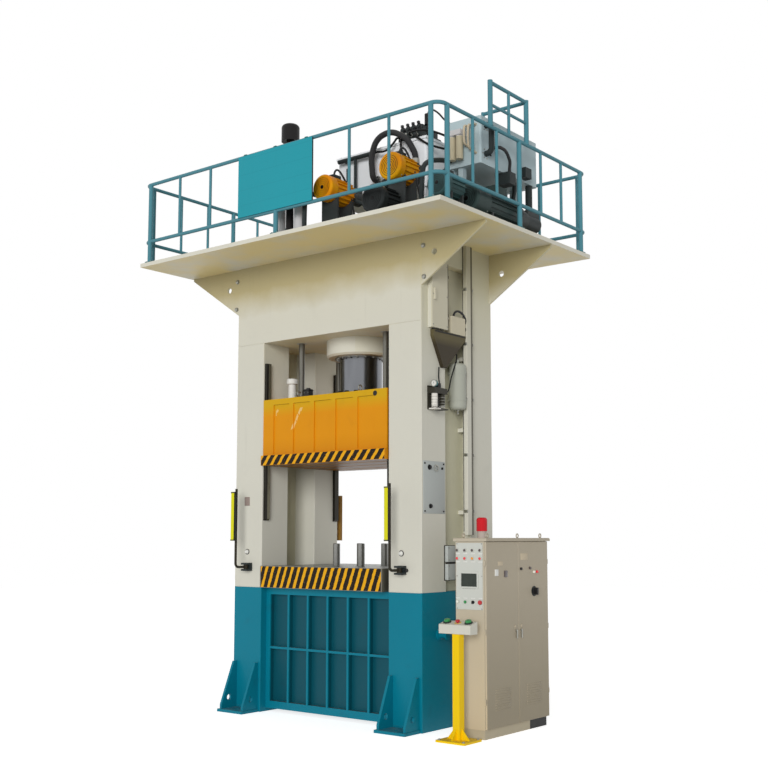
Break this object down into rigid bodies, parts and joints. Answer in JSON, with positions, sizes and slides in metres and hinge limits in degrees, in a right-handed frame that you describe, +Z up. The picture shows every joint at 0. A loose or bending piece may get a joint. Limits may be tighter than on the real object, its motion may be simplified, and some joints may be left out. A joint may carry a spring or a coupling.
{
  "type": "hydraulic press",
  "caption": "Column-type hydraulic press with die cushion, guided slide, oil plant on a railed deck, control cabinet and two-hand push-button stand.",
  "frame": {"origin": "on the floor, in the middle of the four anchor bolts of the press frame", "axes": "+X to the operator's right, +Y from the front to the rear, +Z up along the slide's stroke"},
  "size_m": [4.36, 2.902, 6.56],
  "materials": {
    "cream_paint": "satin",
    "teal_paint": "satin",
    "orange_paint": "satin",
    "yellow_paint": "satin",
    "rail_paint": "satin",
    "grey_paint": "satin",
    "dark_paint": "satin",
    "steel": "machined",
    "polished_steel": "ground",
    "cast_iron": "cast",
    "bronze": "machined",
    "black_plastic": "matt",
    "green_plastic": "gloss",
    "red_plastic": "gloss",
    "hose_rubber": "matt"
  },
  "bodies": {
    "frame": {"bed": "teal_paint", "feet": "teal_paint", "columns": "cream_paint", "side_panels": "cream_paint", "crown": "cream_paint", "tie_rods": "steel", "guide_rails": "steel", "deck": "cream_paint", "deck_brackets": "cream_paint", "railing": "rail_paint", "board": "teal_paint", "bolster": "steel", "cushion_cylinder": "cast_iron", "main_cylinder": "cream_paint", "ram_gland": "steel", "return_cylinders": "grey_paint", "curtain_clamps": "dark_paint", "rear_curtains": "yellow_paint", "junction_box": "cream_paint", "cable_bracket": "dark_paint", "terminal_housing": "cream_paint", "cable_duct": "cream_paint", "air_receiver": "cream_paint", "service_unit": "grey_paint", "cabinet": "cream_paint", "cabinet_plinth": "dark_paint", "mounting_plate": "grey_paint", "operator_panel": "grey_paint", "beacon": "red_plastic", "stand_base": "yellow_paint", "stand_box": "cream_paint", "reservoir": "cream_paint", "header_tank": "cream_paint", "filters": "grey_paint", "pump_motors": "yellow_paint", "pumps": "cast_iron", "main_motor": "dark_paint", "valve_manifold": "dark_paint", "pipes": "dark_paint", "hoses": "hose_rubber"},
    "slide": {"slide": "orange_paint", "slide_gibs": "bronze", "ram": "polished_steel", "return_rods": "polished_steel", "position_sensor": "black_plastic"},
    "cushion": {"cushion_plate": "steel", "cushion_pins": "steel"},
    "curtain_left": {"light_curtain_left": "yellow_paint"},
    "curtain_right": {"light_curtain_right": "yellow_paint"},
    "box_door": {"junction_box_door": "cream_paint"},
    "knob": {"regulator_knob": "black_plastic"},
    "door_front": {"cabinet_door_front": "cream_paint"},
    "door_rear": {"cabinet_door_rear": "cream_paint"},
    "isolator": {"isolator_switch": "black_plastic"},
    "start": {"start_button": "green_plastic"},
    "selector": {"mode_selector": "black_plastic"},
    "stop": {"stop_button": "red_plastic"},
    "palm_left": {"palm_button_left": "green_plastic"},
    "palm_right": {"palm_button_right": "green_plastic"},
    "stand_stop": {"stand_stop": "red_plastic"}
  },
  "joints": [
    {"name": "slide_stroke", "type": "slide", "parent": "frame", "child": "slide", "axis": [0, 0, 1], "range_m": [-0.85, 0.25]},
    {"name": "cushion_stroke", "type": "slide", "parent": "frame", "child": "cushion", "axis": [0, 0, 1], "range_m": [-0.25, 0.02]},
    {"name": "curtain_left_swing", "type": "hinge", "parent": "frame", "child": "curtain_left", "pos_m": [-1.11, -0.71, 1.605], "axis": [0, 0, -1], "range_deg": [0, 90]},
    {"name": "curtain_right_swing", "type": "hinge", "parent": "frame", "child": "curtain_right", "pos_m": [1.11, -0.71, 1.605], "axis": [0, 0, 1], "range_deg": [0, 90]},
    {"name": "box_door_hinge", "type": "hinge", "parent": "frame", "child": "box_door", "pos_m": [1.401, -0.243, 4.4], "axis": [0, 0, 1], "range_deg": [0, 110]},
    {"name": "regulator_turn", "type": "hinge", "parent": "frame", "child": "knob", "pos_m": [1.412, -0.44, 3.5], "axis": [0, 0, 1], "range_deg": [-720, 720]},
    {"name": "door_front_hinge", "type": "hinge", "parent": "frame", "child": "door_front", "pos_m": [2.069, -0.586, 1], "axis": [0, 0, -1], "range_deg": [0, 110]},
    {"name": "door_rear_hinge", "type": "hinge", "parent": "frame", "child": "door_rear", "pos_m": [2.069, 0.59, 1], "axis": [0, 0, 1], "range_deg": [0, 110]},
    {"name": "isolator_turn", "type": "hinge", "parent": "door_rear", "child": "isolator", "pos_m": [2.08, 0.304, 1.388], "axis": [1, 0, 0], "range_deg": [0, 90]},
    {"name": "start_press", "type": "slide", "parent": "frame", "child": "start", "axis": [0, 1, 0], "range_m": [0, 0.005], "stiffness_N_per_m": 800},
    {"name": "selector_turn", "type": "hinge", "parent": "frame", "child": "selector", "pos_m": [1.9314, -0.59, 1.308], "axis": [0, 1, 0], "range_deg": [-45, 45]},
    {"name": "stop_press", "type": "slide", "parent": "frame", "child": "stop", "axis": [0, 1, 0], "range_m": [0, 0.008], "stiffness_N_per_m": 800},
    {"name": "palm_left_press", "type": "slide", "parent": "frame", "child": "palm_left", "axis": [0, 0.2577, -0.9662], "range_m": [0, 0.01], "stiffness_N_per_m": 900},
    {"name": "palm_right_press", "type": "slide", "parent": "frame", "child": "palm_right", "axis": [0, 0.2577, -0.9662], "range_m": [0, 0.01], "stiffness_N_per_m": 900},
    {"name": "stand_stop_press", "type": "slide", "parent": "frame", "child": "stand_stop", "axis": [0, 0.2577, -0.9662], "range_m": [0, 0.01], "stiffness_N_per_m": 900}
  ]
}
